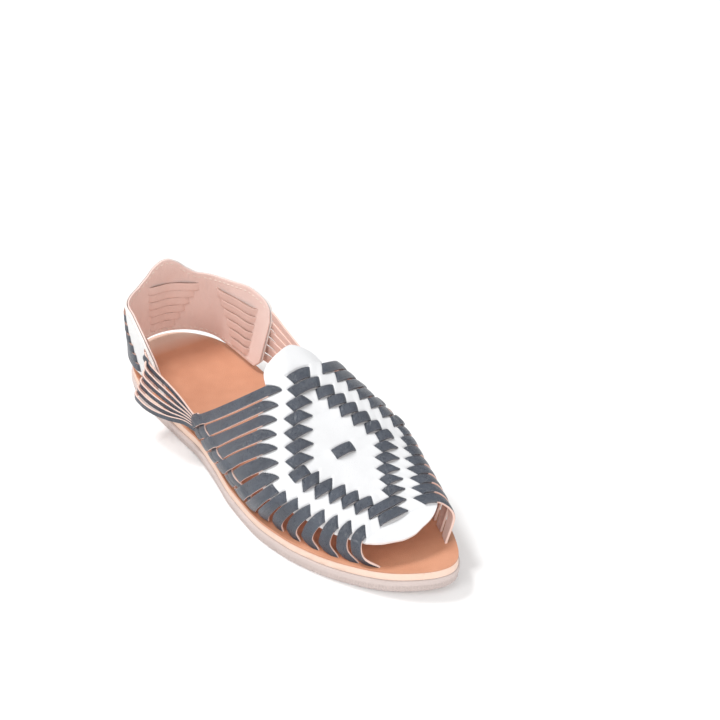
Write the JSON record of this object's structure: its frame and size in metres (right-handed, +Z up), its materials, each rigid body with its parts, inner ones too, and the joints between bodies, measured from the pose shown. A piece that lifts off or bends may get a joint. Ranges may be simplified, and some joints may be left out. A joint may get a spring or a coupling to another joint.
{
  "type": "huarache sandal",
  "caption": "Flat woven leather sandal for the right foot, with an open toe, a woven vamp and a heel counter held by thin strands.",
  "frame": {"origin": "on the floor under the middle of the heel", "axes": "+Z up, the toe points along -Y, +X is the medial (big toe) side and -X the lateral side"},
  "size_m": [0.0919, 0.2572, 0.0758],
  "materials": {
    "woven_leather": "satin dark grey-blue straps over a white leather panel, with a pale pink lining",
    "tan_leather": "smooth tan insole",
    "natural_leather": "matte natural leather edge",
    "pinkish_rubber": "matte rubber with a finely ribbed edge"
  },
  "bodies": {
    "root": {"upper": "woven_leather", "insole": "tan_leather", "midsole": "natural_leather", "outsole": "pinkish_rubber"}
  },
  "joints": []
}
